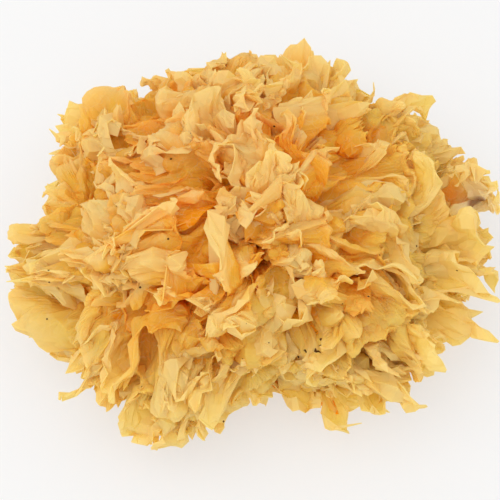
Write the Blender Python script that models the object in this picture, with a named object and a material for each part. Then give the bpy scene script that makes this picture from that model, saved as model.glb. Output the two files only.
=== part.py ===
"""A dried snow fungus head, standing on its cut base.

One tough, lumpy base is cut off flat underneath. Thin fronds grow out of it in every direction, narrow where
they start and wide, wavy and ragged where they end, so that together they fill a low dome. Each frond is one
thin solid of its own, and so is the base.

Run with blender --background --python part.py. Metres, +Z up, origin in the middle of the cut face. The side
with the low bay in its outline faces -Y.
"""

import math
import random

import bmesh
import bpy
from mathutils import Matrix, Vector, noise
from mathutils.bvhtree import BVHTree

# The head: the half sizes of the dome that the frond tips reach, and how high its middle is above the cut
HEAD_HALF_X = 0.0610
HEAD_HALF_Y = 0.0530
HEAD_UP = 0.0345
HEAD_DOWN = 0.0225
HEAD_MIDDLE_Z = 0.0180

# The outline seen from above, as shares of the dome's own, in equal steps from +X towards +Y
OUTLINE_SHARES = (1.05, 0.99, 0.94, 1.02, 1.12, 0.88, 0.96, 1.10, 0.93)
OUTLINE_SHARES += (0.99, 1.09, 1.12, 1.12, 1.12, 0.89, 1.00, 1.12, 1.11)

# The dome is uneven, in broad lumps, and the fronds are crumpled, in smaller ones: their heights and lengths
LUMP_HEIGHT = 0.0075
LUMP_LENGTH = 0.030
CRUMPLE_HEIGHT = 0.0050
CRUMPLE_LENGTH = 0.016

# The fronds start crowded towards the crown, which leans from the top towards -Y. At the dome they have opened
CROWN = Vector((0.0, -0.42, 0.91)).normalized()
OPEN_AT_START = 0.84

# The base: its size as a share of the dome, and the flat cut that it stands on, whose rim is the sphere's ring
# that lies past CUT_FROM of the way down
BASE_SHARE = 0.30
CUT_RADIUS = 0.0165
CUT_FROM = 0.90
BASE_SEGMENTS = 14
BASE_RINGS = 7
BASE_LUMP_HEIGHT = 0.0012
BASE_LUMP_LENGTH = 0.007

# The fronds: how many small ones have a place, how thick they are, the least air between two, and how many
# faces each has along its rim and from its start to its rim
FROND_PLACES = 53
LOWEST_PLACE = math.radians(122)
GOLDEN_TURN = math.pi * (3 - math.sqrt(5))
FROND_START = 0.325
FROND_THICKNESS = 0.0008
FROND_GAP = 0.0008
FROND_GRID = (8, 4)

# A frond's size on the dome, in radians: half its length along its rim, its waves, and how far it leans over
HALF_LENGTHS = (0.20, 0.29)
START_WIDTH_SHARE = 0.55
WAVE_HEIGHT = 0.15
WAVE_COUNTS = (1.6, 3.0)
LEANS = (-0.05, 0.34)

# How far out it reaches, as shares of the dome, how much less at its sides, and how ragged its rim is
REACHES = (0.90, 1.03)
SHOULDER_DROP = 0.13
TOOTH_HEIGHT = 0.075
TEETH = 2.6

# A frond that would touch another, or the ground, is tried again, a little smaller each time
MOST_TRIES = 60
SMALLEST_SIZE = 0.45
LEAST_REACH_SHARE = 0.80
LOWEST_POINT = 0.0015

# The young fronds, which stay low between the tall ones: how many there are, their faces, how far from the
# crown they may start, and their sizes and reaches as shares of a tall one's
YOUNG_FRONDS = 5
YOUNG_GRID = (5, 3)
YOUNG_TRIES = 1500
YOUNG_SPREAD = 0.45
YOUNG_SIZES = (0.40, 0.75)
YOUNG_REACHES = (0.66, 0.86)

# The two large fronds at the crown: the polar angle and azimuth of the place and the way it faces, in degrees,
# then half its length, its lean, the number of its waves and where they start
LARGE_FRONDS = (
    (22, -78, -161, 0.17, 0.36, 0.9, 1.2),
    (22, -122, 54, 0.22, 0.34, 1.3, 0.3),
)
LARGE_FROND_ROOM = 0.12

SEED = 40


def smooth_step(low, high, value):
    share = min(1.0, max(0.0, (value - low) / (high - low)))
    return share * share * (3 - 2 * share)


def outline_share(azimuth):
    """The outline's share of the dome's radius at an azimuth, smooth between the named values."""
    place = (azimuth % math.tau) / math.tau * len(OUTLINE_SHARES)
    first = int(place) % len(OUTLINE_SHARES)
    second = (first + 1) % len(OUTLINE_SHARES)
    blend = smooth_step(0, 1, place - int(place))
    return OUTLINE_SHARES[first] * (1 - blend) + OUTLINE_SHARES[second] * blend


def direction_of(polar, azimuth):
    level = math.sin(polar)
    return Vector((level * math.cos(azimuth), level * math.sin(azimuth), math.cos(polar)))


def push(point):
    """A smooth push that differs from place to place, up to about 1 long."""
    return Vector([noise.noise(point + Vector((17 * turn, 0, 0))) for turn in range(3)])


def head_point(reach, direction):
    """A point of the head: reach is 0 in its middle and 1 at the dome."""
    from_crown = CROWN.angle(direction)
    opening = from_crown * (1 - OPEN_AT_START) * (1 - min(1.0, reach))
    if from_crown > 1e-6:
        direction = Matrix.Rotation(-opening, 3, CROWN.cross(direction)) @ direction
    flat = 1 - direction.z * direction.z
    azimuth = math.atan2(direction.y, direction.x)
    wide = 1 + (outline_share(azimuth) - 1) * flat * smooth_step(FROND_START, 1, reach)
    height = HEAD_UP if direction.z > 0 else HEAD_DOWN
    point = Vector(
        (
            direction.x * reach * HEAD_HALF_X * wide,
            direction.y * reach * HEAD_HALF_Y * wide,
            direction.z * reach * height + HEAD_MIDDLE_Z,
        )
    )
    uneven = push(point / LUMP_LENGTH) * LUMP_HEIGHT + push(point / CRUMPLE_LENGTH) * CRUMPLE_HEIGHT
    uneven.z *= min(1.0, max(0.0, point.z / HEAD_MIDDLE_Z))
    return point + uneven * smooth_step(FROND_START, 0.75, reach)


def frond_places():
    """Every frond's place on the dome, with its own shape where it is a large one."""
    large = []
    for polar, azimuth, facing, half_length, lean, waves, phase in LARGE_FRONDS:
        middle = direction_of(math.radians(polar), math.radians(azimuth))
        own = {"facing": math.radians(facing), "half_length": half_length, "lean": lean}
        large.append((middle, own | {"waves": waves, "phase": phase, "reach": 1.0}))
    small = []
    lowest = 1 - math.cos(LOWEST_PLACE)
    for index in range(FROND_PLACES):
        middle = direction_of(math.acos(1 - (index + 0.5) / FROND_PLACES * lowest), index * GOLDEN_TURN)
        if all(middle.angle(taken) > LARGE_FROND_ROOM for taken, _ in large):
            small.append((middle, {}))
    return large + small


def frond_shape(middle, own, size, draw):
    """What makes one frond differ from the next."""
    shape = {
        "middle": middle,
        "facing": draw.uniform(-math.pi, math.pi),
        "half_length": draw.uniform(*HALF_LENGTHS) * size,
        "reach": draw.uniform(*REACHES) * (LEAST_REACH_SHARE + (1 - LEAST_REACH_SHARE) * size),
        "waves": draw.uniform(*WAVE_COUNTS),
        "phase": draw.uniform(0, math.tau),
        "lean": draw.uniform(*LEANS) * size,
        "wave": WAVE_HEIGHT * size,
        "teeth": draw.uniform(0, 100),
    }
    return shape | own


def frond_point(shape, across, along):
    """A point of a frond's middle surface: across runs from -1 to 1, along from 0 at the base to 1."""
    middle = shape["middle"]
    level = Vector((-middle.y, middle.x, 0)).normalized()
    downhill = level.cross(middle)
    turn = shape["facing"]
    run = level * math.cos(turn) + downhill * math.sin(turn)
    side = downhill * math.cos(turn) - level * math.sin(turn)
    tooth = noise.noise(Vector((across * TEETH, shape["teeth"], 0))) * 2 * TOOTH_HEIGHT
    tip = shape["reach"] * (1 - SHOULDER_DROP * abs(across) ** 2.6) + tooth
    reach = FROND_START + (tip - FROND_START) * (1 - (1 - along) ** 1.35)
    spread = START_WIDTH_SHARE + (1 - START_WIDTH_SHARE) * smooth_step(0, 0.75, along)
    taper = (1 - 0.35 * across * across) * along**1.5
    wave = shape["wave"] * taper * math.sin(shape["phase"] + math.pi * shape["waves"] * across)
    lean = shape["lean"] * along * along
    direction = middle + run * (shape["half_length"] * spread * across) + side * (wave + lean)
    return head_point(reach, direction.normalized())


def frond_sheet(shape, columns, rows):
    """A flat grid bent to the frond's middle surface."""
    sheet = bmesh.new()
    bmesh.ops.create_grid(sheet, x_segments=columns, y_segments=rows, size=1)
    for corner in sheet.verts:
        corner.co = frond_point(shape, corner.co.x, (corner.co.y + 1) / 2)
    sheet.normal_update()
    return sheet


def two_faces(sheet, away):
    """The two faces of a frond as a tree to test for touching, each that far from its middle surface."""
    sheet.verts.index_update()
    corners = [corner.co + corner.normal * away for corner in sheet.verts]
    corners += [corner.co - corner.normal * away for corner in sheet.verts]
    faces = [[corner.index for corner in face.verts] for face in sheet.faces]
    faces += [[corner + len(sheet.verts) for corner in face] for face in faces]
    return BVHTree.FromPolygons(corners, faces), faces


def folds_into_itself(sheet):
    """Whether a frond bends so tightly that its own faces cross."""
    tree, faces = two_faces(sheet, FROND_THICKNESS * 0.6)
    return any(not set(faces[one]) & set(faces[other]) for one, other in tree.overlap(tree))


def room_for(sheet, rooms):
    """A frond's own room, or nothing where it would touch the ground, itself or another frond."""
    room, _ = two_faces(sheet, (FROND_THICKNESS + FROND_GAP) / 2)
    too_low = min(corner.co.z for corner in sheet.verts) < LOWEST_POINT
    if too_low or folds_into_itself(sheet) or any(room.overlap(other) for other in rooms):
        return None
    return room


def material(name, colour, roughness):
    made = bpy.data.materials.new(name)
    made.use_nodes = True
    shader = made.node_tree.nodes["Principled BSDF"]
    shader.inputs["Base Color"].default_value = (*colour, 1)
    shader.inputs["Roughness"].default_value = roughness
    shader.inputs["Metallic"].default_value = 0
    return made


def add_object(name, body, finish):
    mesh = bpy.data.meshes.new(name)
    body.to_mesh(mesh)
    body.free()
    mesh.shade_smooth()
    made = bpy.data.objects.new(name, mesh)
    made.data.materials.append(finish)
    bpy.context.scene.collection.objects.link(made)
    return made


def make_base(finish):
    """The tough base: a lumpy dome above, and below it a stub that stands on the flat cut."""
    knob = bmesh.new()
    bmesh.ops.create_uvsphere(knob, u_segments=BASE_SEGMENTS, v_segments=BASE_RINGS, radius=1)
    for corner in knob.verts:
        up = corner.co.z
        level = math.hypot(corner.co.x, corner.co.y)
        share = 1.0
        height = HEAD_MIDDLE_Z + up * HEAD_UP * BASE_SHARE
        if up < 0:
            share = CUT_RADIUS / (HEAD_HALF_X * BASE_SHARE) / max(level, 1e-6)
            height = HEAD_MIDDLE_Z * max(0.0, 1 + up / CUT_FROM)
        point = Vector(
            (
                corner.co.x * share * HEAD_HALF_X * BASE_SHARE,
                corner.co.y * share * HEAD_HALF_Y * BASE_SHARE,
                height,
            )
        )
        lump = min(0.0, noise.noise(point / BASE_LUMP_LENGTH)) * BASE_LUMP_HEIGHT
        corner.co = point + Vector((point.x, point.y, 0)).normalized() * lump
    return add_object("base", knob, finish)


def make_frond(number, sheet, finish):
    made = add_object(f"frond_{number:02d}", sheet, finish)
    thicken = made.modifiers.new("thickness", "SOLIDIFY")
    thicken.thickness = FROND_THICKNESS
    thicken.offset = 0
    return made


def main():
    for thing in list(bpy.data.objects):
        bpy.data.objects.remove(thing)
    base_finish = material("base", (0.72, 0.47, 0.16), 0.7)
    frond_finish = material("frond", (0.86, 0.60, 0.20), 0.5)
    make_base(base_finish)
    rooms = []
    for place, (middle, own) in enumerate(frond_places()):
        draw = random.Random(SEED * 100 + place)
        for attempt in range(MOST_TRIES):
            size = 1 - (1 - SMALLEST_SIZE) * attempt / MOST_TRIES
            sheet = frond_sheet(frond_shape(middle, own, size, draw), *FROND_GRID)
            room = room_for(sheet, rooms)
            if room:
                rooms.append(room)
                make_frond(len(rooms), sheet, frond_finish)
                break
            sheet.free()
    tall_fronds = len(rooms)
    draw = random.Random(SEED)
    for attempt in range(YOUNG_TRIES):
        away = Vector([draw.uniform(-YOUNG_SPREAD, YOUNG_SPREAD) for turn in range(3)])
        own = {"reach": draw.uniform(*YOUNG_REACHES)}
        shape = frond_shape((CROWN + away).normalized(), own, draw.uniform(*YOUNG_SIZES), draw)
        sheet = frond_sheet(shape, *YOUNG_GRID)
        room = room_for(sheet, rooms)
        if room:
            rooms.append(room)
            make_frond(len(rooms), sheet, frond_finish)
        else:
            sheet.free()
        if len(rooms) == tall_fronds + YOUNG_FRONDS:
            break


main()
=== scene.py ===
"""A dried snow fungus head on a pale surface, seen from above and in front.

The head is put together as it grows: the cut base, then every frond with the lobes that branch from it, then
the young fronds that fill the crown. All sizes are metres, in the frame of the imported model.
"""

import math
import random
from functools import partial

import bmesh
import bpy
from mathutils import Matrix, Vector, kdtree, noise
from mathutils.bvhtree import BVHTree


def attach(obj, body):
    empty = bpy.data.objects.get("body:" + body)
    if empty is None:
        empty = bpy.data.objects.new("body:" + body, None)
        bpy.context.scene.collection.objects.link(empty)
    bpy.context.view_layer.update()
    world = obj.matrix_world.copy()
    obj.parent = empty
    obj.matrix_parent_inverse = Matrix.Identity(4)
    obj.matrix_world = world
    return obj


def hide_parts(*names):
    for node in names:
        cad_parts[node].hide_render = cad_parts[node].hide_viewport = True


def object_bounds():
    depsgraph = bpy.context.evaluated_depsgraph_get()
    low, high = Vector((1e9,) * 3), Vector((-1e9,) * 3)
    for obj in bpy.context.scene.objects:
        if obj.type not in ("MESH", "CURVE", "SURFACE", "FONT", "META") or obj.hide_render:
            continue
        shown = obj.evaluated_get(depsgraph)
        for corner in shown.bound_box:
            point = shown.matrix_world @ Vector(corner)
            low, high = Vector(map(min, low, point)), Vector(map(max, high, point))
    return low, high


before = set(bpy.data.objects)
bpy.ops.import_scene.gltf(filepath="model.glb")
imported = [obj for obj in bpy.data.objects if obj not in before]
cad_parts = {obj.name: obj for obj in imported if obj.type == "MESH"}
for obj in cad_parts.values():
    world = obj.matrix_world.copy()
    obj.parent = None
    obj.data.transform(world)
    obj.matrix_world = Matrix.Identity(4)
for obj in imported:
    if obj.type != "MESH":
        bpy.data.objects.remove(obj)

CAD_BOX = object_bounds()

# The surface, the light and the camera
# The head was photographed on a plain white surface in very soft light, from in front and well above, so that
# no side of it is dark. A wide sky gives most of the light, and one large panel shows the fronds' relief.
SURFACE_SIZE = 3.0
SURFACE_COLOUR = (0.40, 0.40, 0.40, 1)
SURFACE_GLOW = 0.505
SKY_STRENGTH = 0.97
PANEL_SIZE = 0.9
PANEL_POWER = 2.5
PANEL_PLACE = Vector((-0.45, -0.15, 1.0))
CAMERA_ELEVATION = math.radians(65)
CAMERA_DISTANCE = 0.50
CAMERA_LENS = 137
CAMERA_AIM = Vector((0, -0.0027, 0.0168))
LIGHT_BOUNCES = 18

floor_mesh = bpy.data.meshes.new("surface")
floor_grid = bmesh.new()
bmesh.ops.create_grid(floor_grid, x_segments=2, y_segments=2, size=SURFACE_SIZE / 2)
floor_grid.to_mesh(floor_mesh)
floor_grid.free()
floor = bpy.data.objects.new("surface", floor_mesh)
bpy.context.scene.collection.objects.link(floor)
paper = bpy.data.materials.new("white_surface")
paper.use_nodes = True
paper.node_tree.nodes["Principled BSDF"].inputs["Base Color"].default_value = SURFACE_COLOUR
paper.node_tree.nodes["Principled BSDF"].inputs["Roughness"].default_value = 0.9
paper.node_tree.nodes["Principled BSDF"].inputs["Specular IOR Level"].default_value = 0.1
paper.node_tree.nodes["Principled BSDF"].inputs["Emission Color"].default_value = (1, 1, 1, 1)
paper.node_tree.nodes["Principled BSDF"].inputs["Emission Strength"].default_value = SURFACE_GLOW
floor_mesh.materials.append(paper)

sky = bpy.data.worlds.new("soft_sky")
sky.use_nodes = True
sky.node_tree.nodes["Background"].inputs["Color"].default_value = (1, 1, 1, 1)
sky.node_tree.nodes["Background"].inputs["Strength"].default_value = SKY_STRENGTH
bpy.context.scene.world = sky

panel_light = bpy.data.lights.new("soft_panel", "AREA")
panel_light.size = PANEL_SIZE
panel_light.energy = PANEL_POWER
panel = bpy.data.objects.new("soft_panel", panel_light)
panel.location = PANEL_PLACE
panel.rotation_euler = (-PANEL_PLACE).to_track_quat("-Z", "Y").to_euler()
bpy.context.scene.collection.objects.link(panel)

back = Vector((0, -math.cos(CAMERA_ELEVATION), math.sin(CAMERA_ELEVATION)))
lens = bpy.data.cameras.new("camera")
lens.lens = CAMERA_LENS
lens.clip_start = 0.01
camera = bpy.data.objects.new("camera", lens)
camera.location = CAMERA_AIM + back * CAMERA_DISTANCE
camera.rotation_euler = back.to_track_quat("Z", "Y").to_euler()
bpy.context.scene.collection.objects.link(camera)
bpy.context.scene.camera = camera
bpy.context.scene.view_settings.view_transform = "Standard"
bpy.context.scene.cycles.max_bounces = LIGHT_BOUNCES
bpy.context.scene.cycles.diffuse_bounces = LIGHT_BOUNCES
bpy.context.scene.cycles.transmission_bounces = LIGHT_BOUNCES

# The cut base
# The tough base that every frond grows from: a lumpy knob, dry and fibrous, sliced off the log with one flat
# cut. The head stands on the cut, whose face shows the pores of the dried tissue.
HEAD_HALF_X = 0.0610
HEAD_HALF_Y = 0.0530
HEAD_UP = 0.0345
HEAD_MIDDLE_Z = 0.0180
BASE_SHARE = 0.30
BASE_SEGMENTS = 120
BASE_RINGS = 72
CUT_RADIUS = 0.0163
CUT_FROM = 0.90
CUT_LEVEL = math.sqrt(1 - CUT_FROM * CUT_FROM)
BASE_LUMPS = ((0.0070, 0.0012), (0.0030, 0.0005))
FIBRE_SPACING = 0.0011
FIBRE_LENGTH = 0.0080
FIBRE_DEPTH = 0.00035
PORE_SPACING = 0.0016
PORE_DEPTH = 0.0005
PORE_SHARPNESS = 2.4
PORE_ZONE = 0.97
BASE_TAN = (0.84, 0.54, 0.20)
BASE_BROWN = (0.62, 0.33, 0.10)
BASE_PALE = (0.92, 0.72, 0.38)


def base_corner(on_ball):
    """A point of the base, from the point of a ball with radius 1 that it is made from."""
    up = on_ball.z
    level = math.hypot(on_ball.x, on_ball.y)
    share = HEAD_HALF_X * BASE_SHARE
    height = HEAD_MIDDLE_Z + up * HEAD_UP * BASE_SHARE
    if up < 0:
        share = CUT_RADIUS / max(level, CUT_LEVEL)
        height = HEAD_MIDDLE_Z * max(0.0, 1 + up / CUT_FROM)
    point = Vector((on_ball.x * share, on_ball.y * share * HEAD_HALF_Y / HEAD_HALF_X, height))
    outward = Vector((point.x, point.y, 0)).normalized()
    if height > 0:
        round_about = outward * (CUT_RADIUS / FIBRE_SPACING)
        along_fibre = Vector((round_about.x, round_about.y, height / FIBRE_LENGTH))
        point += outward * noise.noise(along_fibre) * FIBRE_DEPTH
        for length, depth in BASE_LUMPS:
            point += outward * min(0.0, noise.noise(point / length)) * depth
    elif level < CUT_LEVEL * PORE_ZONE:
        near = noise.voronoi(point / PORE_SPACING)[0][0]
        point.z = PORE_DEPTH * max(0.0, 1 - near * PORE_SHARPNESS)
    return point


base_ball = bmesh.new()
bmesh.ops.create_uvsphere(base_ball, u_segments=BASE_SEGMENTS, v_segments=BASE_RINGS, radius=1)
for corner in base_ball.verts:
    corner.co = base_corner(corner.co)
base_mesh = bpy.data.meshes.new("fibrous_base")
base_ball.to_mesh(base_mesh)
base_ball.free()
base_mesh.shade_smooth()
base = bpy.data.objects.new("fibrous_base", base_mesh)
bpy.context.scene.collection.objects.link(base)

base_tissue = bpy.data.materials.new("dried_base_tissue")
base_tissue.use_nodes = True
tissue_nodes = base_tissue.node_tree.nodes
tissue_links = base_tissue.node_tree.links
tissue_shader = tissue_nodes["Principled BSDF"]
tissue_shader.inputs["Roughness"].default_value = 0.78
tissue_shader.inputs["Specular IOR Level"].default_value = 0.25
tissue_place = tissue_nodes.new("ShaderNodeTexCoord")
tissue_stretch = tissue_nodes.new("ShaderNodeMapping")
tissue_stretch.inputs["Scale"].default_value = (1, 1, 0.16)
tissue_links.new(tissue_place.outputs["Object"], tissue_stretch.inputs["Vector"])
tissue_fibres = tissue_nodes.new("ShaderNodeTexNoise")
tissue_fibres.inputs["Scale"].default_value = 900
tissue_fibres.inputs["Detail"].default_value = 5
tissue_links.new(tissue_stretch.outputs["Vector"], tissue_fibres.inputs["Vector"])
tissue_blotches = tissue_nodes.new("ShaderNodeTexNoise")
tissue_blotches.inputs["Scale"].default_value = 210
tissue_blotches.inputs["Detail"].default_value = 3
tissue_links.new(tissue_place.outputs["Object"], tissue_blotches.inputs["Vector"])
tissue_ramp = tissue_nodes.new("ShaderNodeValToRGB")
tissue_ramp.color_ramp.elements[0].position = 0.34
tissue_ramp.color_ramp.elements[0].color = (*BASE_BROWN, 1)
tissue_ramp.color_ramp.elements[1].position = 0.66
tissue_ramp.color_ramp.elements[1].color = (*BASE_PALE, 1)
tissue_links.new(tissue_fibres.outputs["Fac"], tissue_ramp.inputs["Fac"])
tissue_mix = tissue_nodes.new("ShaderNodeMix")
tissue_mix.data_type = "RGBA"
tissue_mix.inputs["B"].default_value = (*BASE_TAN, 1)
tissue_links.new(tissue_blotches.outputs["Fac"], tissue_mix.inputs["Factor"])
tissue_links.new(tissue_ramp.outputs["Color"], tissue_mix.inputs["A"])
tissue_links.new(tissue_mix.outputs["Result"], tissue_shader.inputs["Base Color"])
tissue_bump = tissue_nodes.new("ShaderNodeBump")
tissue_bump.inputs["Distance"].default_value = 0.0003
tissue_bump.inputs["Strength"].default_value = 0.7
tissue_links.new(tissue_fibres.outputs["Fac"], tissue_bump.inputs["Height"])
tissue_links.new(tissue_bump.outputs["Normal"], tissue_shader.inputs["Normal"])
base_mesh.materials.append(base_tissue)
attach(base, "root")
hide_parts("base")

# The fronds
# Thin skins of dried jelly that grow out of the base. They join low down, so a crumpled skin with deep pockets
# runs between them, and their free parts stand up from it as half-clear sheets. The rims grow fastest, so they
# buckle, tear and dry pale; the paleness of rims and crests is partly painted light, and the deep orange down
# in the pockets is painted shade. Where they start and which way they face is the imported model's.
HEAD_DOWN = 0.0225
OUTLINE_SHARES = (1.05, 0.99, 0.94, 1.02, 1.12, 0.88, 0.96, 1.10, 0.93)
OUTLINE_SHARES += (0.99, 1.09, 1.12, 1.12, 1.12, 0.89, 1.00, 1.12, 1.11)
LUMP_HEIGHT = 0.0075
LUMP_LENGTH = 0.030
CRUMPLE_HEIGHT = 0.0050
CRUMPLE_LENGTH = 0.016
CROWN = Vector((0.0, -0.42, 0.91)).normalized()
OPEN_AT_START = 0.84
FROND_START = 0.325


def smooth_step(low, high, value):
    share = min(1.0, max(0.0, (value - low) / (high - low)))
    return share * share * (3 - 2 * share)


def outline_share(azimuth):
    place = (azimuth % math.tau) / math.tau * len(OUTLINE_SHARES)
    first = int(place) % len(OUTLINE_SHARES)
    second = (first + 1) % len(OUTLINE_SHARES)
    blend = smooth_step(0, 1, place - int(place))
    return OUTLINE_SHARES[first] * (1 - blend) + OUTLINE_SHARES[second] * blend


def direction_of(polar, azimuth):
    level = math.sin(polar)
    return Vector((level * math.cos(azimuth), level * math.sin(azimuth), math.cos(polar)))


def push(point):
    """A smooth push that differs from place to place, up to about 1 long."""
    return Vector([noise.noise(point + Vector((17 * turn, 0, 0))) for turn in range(3)])


def head_point(reach, direction):
    """A point of the head: reach is 0 in its middle and 1 at the dome."""
    from_crown = CROWN.angle(direction)
    opening = from_crown * (1 - OPEN_AT_START) * (1 - min(1.0, reach))
    if from_crown > 1e-6:
        direction = Matrix.Rotation(-opening, 3, CROWN.cross(direction)) @ direction
    flat = 1 - direction.z * direction.z
    azimuth = math.atan2(direction.y, direction.x)
    wide = 1 + (outline_share(azimuth) - 1) * flat * smooth_step(FROND_START, 1, reach)
    height = HEAD_UP if direction.z > 0 else HEAD_DOWN
    point = Vector(
        (
            direction.x * reach * HEAD_HALF_X * wide,
            direction.y * reach * HEAD_HALF_Y * wide,
            direction.z * reach * height + HEAD_MIDDLE_Z,
        )
    )
    uneven = push(point / LUMP_LENGTH) * LUMP_HEIGHT + push(point / CRUMPLE_LENGTH) * CRUMPLE_HEIGHT
    uneven.z *= min(1.0, max(0.0, point.z / HEAD_MIDDLE_Z))
    return point + uneven * smooth_step(FROND_START, 0.75, reach)


# Where the fronds stand: each is drawn again, a little smaller, while it would touch one that is already there
FROND_PLACES = 53
LOWEST_PLACE = math.radians(122)
GOLDEN_TURN = math.pi * (3 - math.sqrt(5))
FROND_THICKNESS = 0.0008
FROND_GAP = 0.0008
FROND_GRID = (8, 4)
HALF_LENGTHS = (0.20, 0.29)
START_WIDTH_SHARE = 0.55
WAVE_HEIGHT = 0.15
WAVE_COUNTS = (1.6, 3.0)
LEANS = (-0.05, 0.34)
REACHES = (0.90, 1.03)
SHOULDER_DROP = 0.13
TOOTH_HEIGHT = 0.075
TEETH = 2.6
MOST_TRIES = 60
SMALLEST_SIZE = 0.45
LEAST_REACH_SHARE = 0.80
LOWEST_POINT = 0.0015
LARGE_FRONDS = (
    (22, -78, -161, 0.17, 0.36, 0.9, 1.2),
    (22, -122, 54, 0.22, 0.34, 1.3, 0.3),
)
LARGE_FROND_ROOM = 0.12
YOUNG_FRONDS = 5
YOUNG_GRID = (5, 3)
YOUNG_TRIES = 1500
YOUNG_SPREAD = 0.45
YOUNG_SIZES = (0.40, 0.75)
YOUNG_REACHES = (0.66, 0.86)
SEED = 40


def frond_places():
    large = []
    for polar, azimuth, facing, half_length, lean, waves, phase in LARGE_FRONDS:
        middle = direction_of(math.radians(polar), math.radians(azimuth))
        own = {"facing": math.radians(facing), "half_length": half_length, "lean": lean}
        large.append((middle, own | {"waves": waves, "phase": phase, "reach": 1.0}))
    small = []
    lowest = 1 - math.cos(LOWEST_PLACE)
    for index in range(FROND_PLACES):
        middle = direction_of(math.acos(1 - (index + 0.5) / FROND_PLACES * lowest), index * GOLDEN_TURN)
        if all(middle.angle(taken) > LARGE_FROND_ROOM for taken, _ in large):
            small.append((middle, {}))
    return large + small


def frond_shape(middle, own, size, draw):
    shape = {
        "middle": middle,
        "facing": draw.uniform(-math.pi, math.pi),
        "half_length": draw.uniform(*HALF_LENGTHS) * size,
        "reach": draw.uniform(*REACHES) * (LEAST_REACH_SHARE + (1 - LEAST_REACH_SHARE) * size),
        "waves": draw.uniform(*WAVE_COUNTS),
        "phase": draw.uniform(0, math.tau),
        "lean": draw.uniform(*LEANS) * size,
        "wave": WAVE_HEIGHT * size,
        "teeth": draw.uniform(0, 100),
    }
    return shape | own


def frond_ways(shape):
    """The way that a frond's rim runs and the way that its face looks, square to its own direction."""
    middle = shape["middle"]
    level = Vector((-middle.y, middle.x, 0)).normalized()
    downhill = level.cross(middle)
    turn = shape["facing"]
    run = level * math.cos(turn) + downhill * math.sin(turn)
    side = downhill * math.cos(turn) - level * math.sin(turn)
    return run, side


def frond_ray(shape, across, along):
    """The direction and the reach of a point of a frond, across from -1 to 1 and along from the base to 1."""
    run, side = frond_ways(shape)
    tooth = noise.noise(Vector((across * TEETH, shape["teeth"], 0))) * 2 * TOOTH_HEIGHT
    tip = shape["reach"] * (1 - SHOULDER_DROP * abs(across) ** 2.6) + tooth
    reach = FROND_START + (tip - FROND_START) * (1 - (1 - along) ** 1.35)
    spread = START_WIDTH_SHARE + (1 - START_WIDTH_SHARE) * smooth_step(0, 0.75, along)
    taper = (1 - 0.35 * across * across) * max(0.0, along) ** 1.5
    wave = shape["wave"] * taper * math.sin(shape["phase"] + math.pi * shape["waves"] * across)
    lean = shape["lean"] * along * along
    direction = shape["middle"] + run * (shape["half_length"] * spread * across) + side * (wave + lean)
    return direction, reach


def frond_point(shape, across, along):
    direction, reach = frond_ray(shape, across, along)
    return head_point(reach, direction.normalized())


def two_faces(sheet, away):
    """The two faces of a frond as a tree to test for touching, each that far from its middle surface."""
    sheet.verts.index_update()
    corners = [corner.co + corner.normal * away for corner in sheet.verts]
    corners += [corner.co - corner.normal * away for corner in sheet.verts]
    faces = [[corner.index for corner in face.verts] for face in sheet.faces]
    faces += [[corner + len(sheet.verts) for corner in face] for face in faces]
    return BVHTree.FromPolygons(corners, faces), faces


def folds_into_itself(sheet):
    tree, faces = two_faces(sheet, FROND_THICKNESS * 0.6)
    return any(not set(faces[one]) & set(faces[other]) for one, other in tree.overlap(tree))


def room_for(shape, columns, rows):
    """A frond's own room, or nothing where it would touch the ground, itself or another frond."""
    sheet = bmesh.new()
    bmesh.ops.create_grid(sheet, x_segments=columns, y_segments=rows, size=1)
    for corner in sheet.verts:
        corner.co = frond_point(shape, corner.co.x, (corner.co.y + 1) / 2)
    sheet.normal_update()
    room, _ = two_faces(sheet, (FROND_THICKNESS + FROND_GAP) / 2)
    too_low = min(corner.co.z for corner in sheet.verts) < LOWEST_POINT
    taken = too_low or folds_into_itself(sheet) or any(room.overlap(other) for other in rooms)
    sheet.free()
    return None if taken else room


shapes = []
rooms = []
for place, (middle, own) in enumerate(frond_places()):
    draw = random.Random(SEED * 100 + place)
    for attempt in range(MOST_TRIES):
        size = 1 - (1 - SMALLEST_SIZE) * attempt / MOST_TRIES
        shape = frond_shape(middle, own, size, draw)
        room = room_for(shape, *FROND_GRID)
        if room:
            rooms.append(room)
            shapes.append(shape)
            break
tall_fronds = len(shapes)
draw = random.Random(SEED)
for attempt in range(YOUNG_TRIES):
    away = Vector([draw.uniform(-YOUNG_SPREAD, YOUNG_SPREAD) for turn in range(3)])
    own = {"reach": draw.uniform(*YOUNG_REACHES)}
    shape = frond_shape((CROWN + away).normalized(), own, draw.uniform(*YOUNG_SIZES), draw)
    room = room_for(shape, *YOUNG_GRID)
    if room:
        rooms.append(room)
        shapes.append(shape)
    if len(shapes) == tall_fronds + YOUNG_FRONDS:
        break

# How a frond is crumpled, torn and joined to the next
SKIN_THICKNESS = 0.00026
POCKETS = ((0.0150, 0.72, 2.4, 3.7), (0.0062, 0.28, 2.0, 41.2))
WALL_BEND = (0.014, 0.007)
WALL_LEAN = (0.024, 0.34)
CREST_LENGTH = 0.0085
CREST_HEIGHTS = (0.85, 0.45)
CREST_PLACE = Vector((0, 9.1, 0))
POCKET_REACH = 0.72
CREST_REACH = 0.98
UNDERSIDE = (math.radians(112), math.radians(152))
UNDERSIDE_SHARE = 0.46
CELL_STEP = 0.0105
CELL_HALF = 0.40
LOW_CELL_HALF = 0.75
CELL_OVERLAP = 0.03
BORDER_WOBBLE = (5, 0.08)
LOW_FROND = -0.15
SKIN_MIDDLE_REACH = 0.85
WALLS_GONE = 8
SKIN_FOLD_SEED = 0.5
EDGE_DROP = 1.5
EDGE_ZONE = 0.0030
PAST_SIDE = 0.0015
LOWEST_SKIN = 0.0006
PUCKER_CURVE = 1.6
PUCKER_SHARE = 0.9
FOLD_GAIN = 1.5
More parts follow.
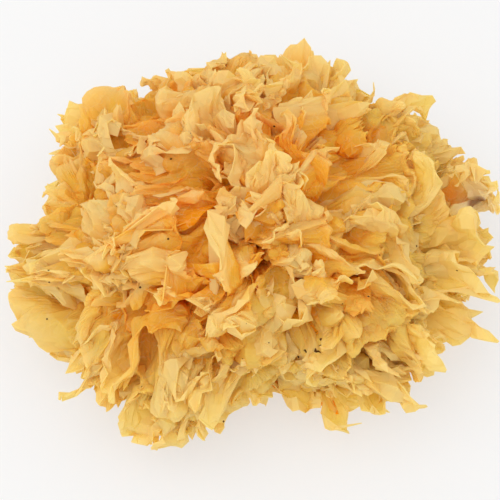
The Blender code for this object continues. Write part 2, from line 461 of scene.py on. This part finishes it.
FOLDS = ((0.0090, 0.0018, 0.0), (0.0042, 0.0009, 0.0), (0.0024, 0.0003, 0.0))
RIM_FOLDS = ((0.0105, 0.0027, 0.9), (0.0050, 0.0015, 1.1), (0.0024, 0.0006, 1.0))
TEARS = ((0.0066, 0.0052), (0.0029, 0.0040), (0.0014, 0.0019))
TEAR_RUN = (0.014, 0.010)
TEAR_POWER = 5
# How quickly a sheet that sinks into a hollow takes the painted shade of the pockets
HOLLOW_PAINTED_SHADE_GAIN = 5
RADIUS = 0.055
HEAD_MIDDLE = Vector((0, 0, HEAD_MIDDLE_Z))
SHEET_GRID = (40, 18)
SHEET_SPACING = 0.70
SHEET_FOOT = 0.30
LOBE_FOOT = 0.0
LOBES = {
    "across": (-0.75, 0.75),
    "along": (0.30, 0.66),
    "slant": (-0.15, 0.15),
    "width": (0.40, 0.75),
    "lean": (0.22, 0.62),
    "twist": (-1.2, 1.2),
    "waves": (0.8, 2.0),
    "wave": (0.03, 0.08),
    "reach": (0.84, 0.98),
}
LOBE_COUNT = 4
LOBE_GRID = (20, 12)
HOLLOWS = (
    (25, 268, 0.10, 0.20),
    (30, 32, 0.13, 0.14),
    (20, 48, 0.08, 0.12),
    (54, 242, 0.20, 0.12),
    (50, 306, 0.17, 0.12),
    (48, 282, 0.12, 0.10),
    (20, 354, 0.11, 0.10),
    (14, 214, 0.07, 0.08),
    (28, 218, 0.10, 0.07),
    (16, 30, 0.06, 0.08),
    (18, 174, 0.07, 0.14),
    (38, 132, 0.11, 0.08),
)
BLADES = (
    (((6, 292), (10, 32), (12, 348)), ((14, 264), (22, 276), (14, 336))),
    (((12, 12), (20, 34), (22, 350)), ((12, 350), (20, 354), (26, 346))),
    (((32, 204), (22, 208), (16, 238)), ((42, 214), (40, 230), (28, 238))),
    (((36, 238), (28, 230), (18, 258)), ((46, 246), (36, 246), (28, 256))),
    (((22, 260), (26, 248), (42, 256), (54, 254)), ((32, 266), (36, 258), (46, 260), (66, 256))),
    (((36, 254), (38, 264), (34, 274)), ((34, 250), (32, 262), (32, 272))),
    (((14, 302), (18, 336), (30, 332)), ((24, 298), (32, 310), (38, 326))),
    (((26, 82), (34, 82), (28, 74)), ((22, 80), (20, 72), (22, 64))),
    (((36, 76), (38, 74), (32, 64)), ((20, 66), (20, 58), (24, 54))),
    (((34, 62), (38, 56), (40, 50)), ((24, 42), (26, 36), (34, 40))),
    (((68, 8), (72, 6), (72, 2), (68, 358)), ((86, 12), (88, 8), (88, 6), (88, 4))),
    (((42, 296), (54, 306), (56, 322)), ((38, 308), (52, 316), (64, 340))),
)
BLADE_GRID = (34, 20)
BLADE_ROOT = 0.74
BLADE_TIP = 1.00
BLADE_ROOM = 0.17
BLADE_CURVE = 1.6
DEEP_HOLLOW = 0.04
LOBE_TIP_ROOM = 0.05
WARM_MIDDLE = (-0.012, 0.010, 0.045)
FACE_WARM = (0.998, 0.675, 0.145)
FACE_GOLD = (0.998, 0.74, 0.072)
FACE_AMBER = (0.998, 0.665, 0.034)
FACE_OUTER = (0.998, 0.84, 0.25)
# Painted shade: the deep orange colour given to the skin down in the pockets
POCKET_PAINTED_SHADE = (0.998, 0.54, 0.012)
RIM_PALE = (0.998, 0.88, 0.43)
DRIED_LINES = ((170, 0.035, 0.40), (420, 0.05, 0.30))
SPECK_BROWN = (0.13, 0.06, 0.015)
SPECK_SPACING = 0.0062
SPECK_SIZE = 0.055
SPECK_PART = 0.45
SPECK_CLUSTER = (54, 288, 0.90, 0.0035)
# Painted shade: a dark red slit at the bottom of the deepest hollow
SLIT_PAINTED_SHADE = (0.30, 0.03, 0.0)
SLIT_TURN = math.radians(14)
SLIT_HALVES = (0.0030, 0.0011, 0.0060)
EDGE_LOBE = (73, 4, 0.93, 0.0080)
EDGE_BEIGE = (0.995, 0.92, 0.66)
EDGE_BROWN = (0.45, 0.20, 0.06)
THROUGH_SHARE = 0.56

hollows = [
    (direction_of(math.radians(polar), math.radians(azimuth)), size, deep)
    for polar, azimuth, size, deep in HOLLOWS
]
blades = [
    [[direction_of(math.radians(polar), math.radians(azimuth)) for polar, azimuth in line] for line in blade]
    for blade in BLADES
]
owners = kdtree.KDTree(tall_fronds)
for number in range(tall_fronds):
    owners.insert(shapes[number]["middle"], number)
owners.balance()


def bowl(place, size, curve, seed):
    """Rounded bowls side by side, each about that wide: 0 in the middle of one and 1 on a crest."""
    near, far = noise.voronoi(place / size + Vector((seed, 0, 0)))[0][:2]
    return (near / max(far, 1e-6)) ** curve


def hollow_depth(direction):
    """How much deeper the skin lies in a direction because of the hollows."""
    depth = 0.0
    for middle, size, deep in hollows:
        depth = max(depth, deep * (1 - smooth_step(0.5 * size, 1.3 * size, direction.angle(middle))))
    return depth


def wall_height(place):
    """How high the crumpled skin stands at a place: 0 in a pocket and 1 on a crest."""
    length, strength = WALL_BEND
    bent = place + push(place / length) * strength
    height = sum(share * bowl(bent, size, curve, seed) for size, share, curve, seed in POCKETS)
    middle, change = CREST_HEIGHTS
    return height * (middle + change * noise.noise(place / CREST_LENGTH + CREST_PLACE))


def outside_cell(direction, number):
    """How far a direction lies past the border between a frond's own part of the skin and the next one's."""
    turns, strength = BORDER_WOBBLE
    wobbly = direction + push(direction * turns) * strength
    nearest = owners.find_n(wobbly, 2)
    own = (wobbly - shapes[number]["middle"]).length
    other = nearest[1] if nearest[0][1] == number else nearest[0]
    return own - other[2]


def add_pocket_skin(skin, number):
    """A frond's own part of the crumpled skin, whose edge lies just under the next frond's part."""
    shape = shapes[number]
    half = LOW_CELL_HALF if shape["middle"].z < LOW_FROND else CELL_HALF
    count = int(2 * half / CELL_STEP)
    run, side = frond_ways(shape)
    made = bmesh.ops.create_grid(skin, x_segments=count, y_segments=count, size=half)["verts"]
    rim = skin.verts.layers.float["rim"]
    depth = skin.verts.layers.float["depth"]
    beyond = []
    kept = []
    sunk = []
    for corner in made:
        direction = (shape["middle"] + run * corner.co.x + side * corner.co.y).normalized()
        outside = outside_cell(direction, number)
        polar = math.acos(direction.z)
        if outside > CELL_OVERLAP or polar > UNDERSIDE[1]:
            beyond.append(corner)
            continue
        place = head_point(SKIN_MIDDLE_REACH, direction)
        hollow = hollow_depth(direction)
        wall = wall_height(place) * (1 - min(1.0, hollow * WALLS_GONE))
        reach = POCKET_REACH + (CREST_REACH - POCKET_REACH) * wall - hollow
        corner[rim] = max(0.0, wall) ** 3
        # depth paints the colour: pale on the crests, partly painted light, and deep orange in the pockets,
        # painted shade
        corner[depth] = max(0.0, wall)
        length, strength = WALL_LEAN
        direction = (direction + push(place / length) * strength * wall).normalized()
        reach *= 1 - (1 - UNDERSIDE_SHARE) * smooth_step(*UNDERSIDE, polar)
        corner.co = head_point(reach, direction)
        kept.append(corner)
        sunk.append(max(0.0, outside) * RADIUS * EDGE_DROP)
    bmesh.ops.delete(skin, geom=beyond, context="VERTS")
    fold(skin, kept, SKIN_FOLD_SEED, FOLDS)
    bmesh.ops.smooth_vert(skin, verts=kept, factor=0.5, use_axis_x=True, use_axis_y=True, use_axis_z=True)
    for corner, down in zip(kept, sunk):
        inward = (HEAD_MIDDLE - corner.co).normalized()
        corner.co += inward * down


def tear(place, seed):
    """How much further a rim reaches at a place along it than its smooth line, in metres."""
    out = 0.0
    for length, height in TEARS:
        out += height * noise.noise(Vector((place / length, seed, length * 1000)))
    return out


def fold(sheet, corners, seed, folds):
    """Moves the corners along their normals into folds and sharp puckers."""
    sheet.normal_update()
    rim = sheet.verts.layers.float["rim"]
    moves = []
    for corner in corners:
        move = 0.0
        for length, height, power in folds:
            value = noise.noise(corner.co / length + Vector((seed, length * 5000, 0)))
            pucker = bowl(corner.co, length, PUCKER_CURVE, seed + length * 3000) - 0.5
            move += height * (value + PUCKER_SHARE * pucker) * FOLD_GAIN * corner[rim] ** power
        moves.append(corner.normal * move)
    for corner, move in zip(corners, moves):
        corner.co += move


def add_sheet(sheet, grid, ray, foot, seed):
    """One grid whose corners are placed by ray, a function of across and along, with a torn rim."""
    columns, rows = grid
    made = bmesh.ops.create_grid(sheet, x_segments=columns, y_segments=rows, size=1)["verts"]
    rim = sheet.verts.layers.float["rim"]
    depth = sheet.verts.layers.float["depth"]
    for corner in made:
        across, along = corner.co.x, max(0.0, (corner.co.y + 1) / 2) ** SHEET_SPACING
        direction, reach = ray(across, along)
        edge = max(along, abs(across) ** 3 * smooth_step(0.2, 0.7, along))
        torn = tear(across * TEAR_RUN[0] + along * TEAR_RUN[1], seed) / RADIUS
        reach += torn * along**TEAR_POWER
        direction = direction.normalized()
        hollow = hollow_depth(direction)
        corner[rim] = edge
        # depth paints pale rims, partly painted light, and painted shade of deep orange towards a sheet's foot
        # and in hollows
        corner[depth] = smooth_step(foot, 1, edge) * (1 - min(1.0, hollow * HOLLOW_PAINTED_SHADE_GAIN))
        corner.co = head_point(reach - hollow * smooth_step(0.5, 0.8, reach), direction)
    fold(sheet, made, seed, RIM_FOLDS)


def along_line(line, share):
    """The direction that lies that share of the way along a smooth line through a few directions."""
    last = len(line) - 1
    first = min(last - 1, int(share * last))
    step = share * last - first
    before, start, end, after = (line[min(last, max(0, first + turn))] for turn in (-1, 0, 1, 2))
    bend = (end - start) * 3 + (start - end) * 2
    curve = start + (end - before) * 0.5 * step
    curve += (bend - (end - before) - (after - start) * 0.5) * step * step
    curve += ((start - end) * 2 + (end - before) * 0.5 + (after - start) * 0.5) * step * step * step
    return curve.normalized()


def blade_ray(rim_line, root_line):
    """The ray function of a large membrane between the line it grows from and the line of its rim."""

    def ray(across, along):
        share = (across + 1) / 2
        direction = along_line(root_line, share).lerp(along_line(rim_line, share), along)
        return direction, BLADE_ROOT + (BLADE_TIP - BLADE_ROOT) * (1 - (1 - along) ** BLADE_CURVE)

    return ray


def kept_inside(point):
    """A point that would stand out of the head's box, drawn back to just past its side."""
    drawn = point.copy()
    for axis in range(3):
        low, high = CAD_BOX[0][axis], CAD_BOX[1][axis]
        for side, sign in ((low, -1), (high, 1)):
            past = (point[axis] - side) * sign + EDGE_ZONE
            if past > 0:
                span = EDGE_ZONE + PAST_SIDE
                drawn[axis] = side + sign * (span * math.tanh(past / span) - EDGE_ZONE)
    drawn.z = max(drawn.z, LOWEST_SKIN)
    return drawn


def lobe_ray(shape, lobe):
    """The ray function of a lobe that leaves the face of a frond and leans away from it."""
    run, side = frond_ways(shape)

    def ray(across, along):
        wide = lobe["width"] * (0.6 + 0.4 * smooth_step(0, 0.8, along))
        root = lobe["along"] + lobe["slant"] * across
        direction, start = frond_ray(shape, lobe["across"] + across * wide, root)
        twist = lobe["twist"] * along
        step = across * wide * shape["half_length"]
        wave = lobe["wave"] * along**1.2 * math.sin(lobe["phase"] + math.pi * lobe["waves"] * across)
        direction = direction + run * (math.cos(twist) - 1) * step
        direction += side * (math.sin(twist) * step + lobe["lean"] * along**1.3 + wave)
        tip = lobe["reach"] * (1 - SHOULDER_DROP * abs(across) ** 2.6)
        tip = max(tip, start + LOBE_TIP_ROOM)
        return direction, start + (tip - start) * (1 - (1 - along) ** 1.35)

    return ray


def draw_lobe(kind, draw):
    lobe = {name: draw.uniform(*span) for name, span in kind.items()}
    lobe["lean"] *= draw.choice((-1, 1))
    lobe["phase"] = draw.uniform(0, math.tau)
    return lobe


def spot(polar, azimuth, reach, size):
    """The place of a spot on the head, with its size."""
    return head_point(reach, direction_of(math.radians(polar), math.radians(azimuth))), size


def skin_material():
    """Half-clear dried skin: golden faces, painted shade of deep orange in the pockets, rims pale partly with
    painted light.
    """
    made = bpy.data.materials.new("dried_skin")
    made.use_nodes = True
    nodes, links = made.node_tree.nodes, made.node_tree.links
    shader = nodes["Principled BSDF"]
    output = nodes["Material Output"]
    place = nodes.new("ShaderNodeTexCoord")

    def attribute(name):
        node = nodes.new("ShaderNodeAttribute")
        node.attribute_name = name
        return node.outputs["Fac"]

    def noise_of(scale, detail, distortion=0.0):
        node = nodes.new("ShaderNodeTexNoise")
        node.inputs["Scale"].default_value = scale
        node.inputs["Detail"].default_value = detail
        node.inputs["Distortion"].default_value = distortion
        links.new(place.outputs["Object"], node.inputs["Vector"])
        return node.outputs["Fac"]

    def share_of(value, low, high, out_low=0.0, out_high=1.0):
        node = nodes.new("ShaderNodeMapRange")
        node.inputs["From Min"].default_value = low
        node.inputs["From Max"].default_value = high
        node.inputs["To Min"].default_value = out_low
        node.inputs["To Max"].default_value = out_high
        links.new(value, node.inputs["Value"])
        return node.outputs["Result"]

    def mixed(share, first, second):
        node = nodes.new("ShaderNodeMix")
        node.data_type = "RGBA"
        links.new(share, node.inputs["Factor"])
        for socket, colour in (("A", first), ("B", second)):
            if isinstance(colour, tuple):
                node.inputs[socket].default_value = (*colour, 1)
            else:
                links.new(colour, node.inputs[socket])
        return node.outputs["Result"]

    def distance_from(middle):
        node = nodes.new("ShaderNodeVectorMath")
        node.operation = "DISTANCE"
        node.inputs[1].default_value = middle
        links.new(place.outputs["Object"], node.inputs[0])
        return node.outputs["Value"]

    def product(first, second):
        node = nodes.new("ShaderNodeMath")
        node.operation = "MULTIPLY"
        links.new(first, node.inputs[0])
        links.new(second, node.inputs[1])
        return node.outputs["Value"]

    away = distance_from(WARM_MIDDLE)

    face = mixed(share_of(away, 0.012, 0.050), FACE_WARM, FACE_GOLD)
    face = mixed(share_of(noise_of(45, 2), 0.42, 0.62, 0.0, 0.5), face, FACE_AMBER)
    face = mixed(share_of(away, 0.034, 0.062), face, FACE_OUTER)
    # Painted shade: deep orange where the skin lies low in a pocket or at a sheet's foot; pale rims and crests
    # are partly painted light
    rim_paleness_and_painted_shade = attribute("depth")
    colour = mixed(share_of(rim_paleness_and_painted_shade, 0.50, 0.05), face, POCKET_PAINTED_SHADE)
    colour = mixed(share_of(rim_paleness_and_painted_shade, 0.62, 1.0, 0.0, 0.9), colour, RIM_PALE)
    for scale, low, strength in DRIED_LINES:
        line = nodes.new("ShaderNodeMath")
        line.operation = "ABSOLUTE"
        fine = noise_of(scale, 1, 0.6)
        centred = share_of(fine, 0.0, 1.0, -1.0, 1.0)
        links.new(centred, line.inputs[0])
        colour = mixed(share_of(line.outputs["Value"], low, 0.0, 0.0, strength), colour, RIM_PALE)
    edge_lobe, edge_size = spot(*EDGE_LOBE)
    near_edge = distance_from(edge_lobe)
    colour = mixed(share_of(near_edge, edge_size, edge_size * 0.5, 0.0, 0.8), colour, EDGE_BEIGE)
    colour = mixed(share_of(near_edge, edge_size * 0.36, edge_size * 0.24, 0.0, 0.9), colour, EDGE_BROWN)

    # Painted shade: a dark red slit painted at the bottom of the first, deepest hollow
    slit_polar, slit_azimuth, _, slit_depth = HOLLOWS[0]
    slit = nodes.new("ShaderNodeMapping")
    slit.vector_type = "TEXTURE"
    slit.inputs["Location"].default_value = spot(slit_polar, slit_azimuth, POCKET_REACH - slit_depth, 0)[0]
    slit.inputs["Rotation"].default_value = (0, 0, SLIT_TURN)
    slit.inputs["Scale"].default_value = SLIT_HALVES
    links.new(place.outputs["Object"], slit.inputs["Vector"])
    from_slit = nodes.new("ShaderNodeVectorMath")
    from_slit.operation = "LENGTH"
    links.new(slit.outputs["Vector"], from_slit.inputs[0])
    colour = mixed(share_of(from_slit.outputs["Value"], 1.1, 0.8), colour, SLIT_PAINTED_SHADE)

    cluster, cluster_size = spot(*SPECK_CLUSTER)
    in_cluster = share_of(distance_from(cluster), cluster_size, cluster_size * 0.9)
    colour = mixed(product(share_of(fine, 0.62, 0.65), in_cluster), colour, SPECK_BROWN)
    cells = nodes.new("ShaderNodeTexVoronoi")
    cells.inputs["Scale"].default_value = 1 / SPECK_SPACING
    links.new(place.outputs["Object"], cells.inputs["Vector"])
    picked = nodes.new("ShaderNodeSeparateColor")
    links.new(cells.outputs["Color"], picked.inputs["Color"])
    speck = share_of(cells.outputs["Distance"], SPECK_SIZE, SPECK_SIZE * 0.75)
    speck = product(speck, share_of(picked.outputs["Red"], SPECK_PART, SPECK_PART + 0.01))
    colour = mixed(speck, colour, SPECK_BROWN)
    links.new(colour, shader.inputs["Base Color"])
    links.new(share_of(fine, 0.3, 0.7, 0.34, 0.55), shader.inputs["Roughness"])
    shader.inputs["Specular IOR Level"].default_value = 0.28

    wrinkles = nodes.new("ShaderNodeBump")
    wrinkles.inputs["Distance"].default_value = 0.0008
    wrinkles.inputs["Strength"].default_value = 0.55
    links.new(noise_of(260, 2), wrinkles.inputs["Height"])
    links.new(wrinkles.outputs["Normal"], shader.inputs["Normal"])
    through = nodes.new("ShaderNodeBsdfTranslucent")
    links.new(colour, through.inputs["Color"])
    links.new(wrinkles.outputs["Normal"], through.inputs["Normal"])
    mix = nodes.new("ShaderNodeMixShader")
    mix.inputs["Fac"].default_value = THROUGH_SHARE
    links.new(shader.outputs["BSDF"], mix.inputs[1])
    links.new(through.outputs["BSDF"], mix.inputs[2])
    links.new(mix.outputs["Shader"], output.inputs["Surface"])
    return made


skin = skin_material()
for number, shape in enumerate(shapes, 1):
    draw = random.Random(number)
    sheet = bmesh.new()
    sheet.verts.layers.float.new("rim")
    sheet.verts.layers.float.new("depth")
    if number <= tall_fronds:
        add_pocket_skin(sheet, number - 1)
    add_sheet(sheet, SHEET_GRID, partial(frond_ray, shape), SHEET_FOOT, number * 7.3)
    for count in range(LOBE_COUNT):
        lobe = draw_lobe(LOBES, draw)
        tip = lobe_ray(shape, lobe)(0, 1)[0].normalized()
        near_blade = any(tip.angle(rim_line[1]) < BLADE_ROOM for rim_line, _ in blades)
        if near_blade or hollow_depth(tip) > DEEP_HOLLOW:
            continue
        add_sheet(sheet, LOBE_GRID, lobe_ray(shape, lobe), LOBE_FOOT, draw.uniform(0, 400))
    for rim_line, root_line in blades:
        if owners.find(root_line[1])[1] == number - 1:
            add_sheet(sheet, BLADE_GRID, blade_ray(rim_line, root_line), LOBE_FOOT, draw.uniform(0, 400))
    for corner in sheet.verts:
        corner.co = kept_inside(corner.co)
    mesh = bpy.data.meshes.new(f"ruffled_frond_{number:02d}")
    sheet.to_mesh(mesh)
    sheet.free()
    mesh.materials.append(skin)
    frond = bpy.data.objects.new(mesh.name, mesh)
    bpy.context.scene.collection.objects.link(frond)
    thicken = frond.modifiers.new("thickness", "SOLIDIFY")
    thicken.thickness = SKIN_THICKNESS
    thicken.offset = 0
    graph = bpy.context.evaluated_depsgraph_get()
    frond.data = bpy.data.meshes.new_from_object(frond.evaluated_get(graph))
    frond.modifiers.clear()
    frond.data.shade_flat()
    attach(frond, "root")
    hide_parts(f"frond_{number:02d}")
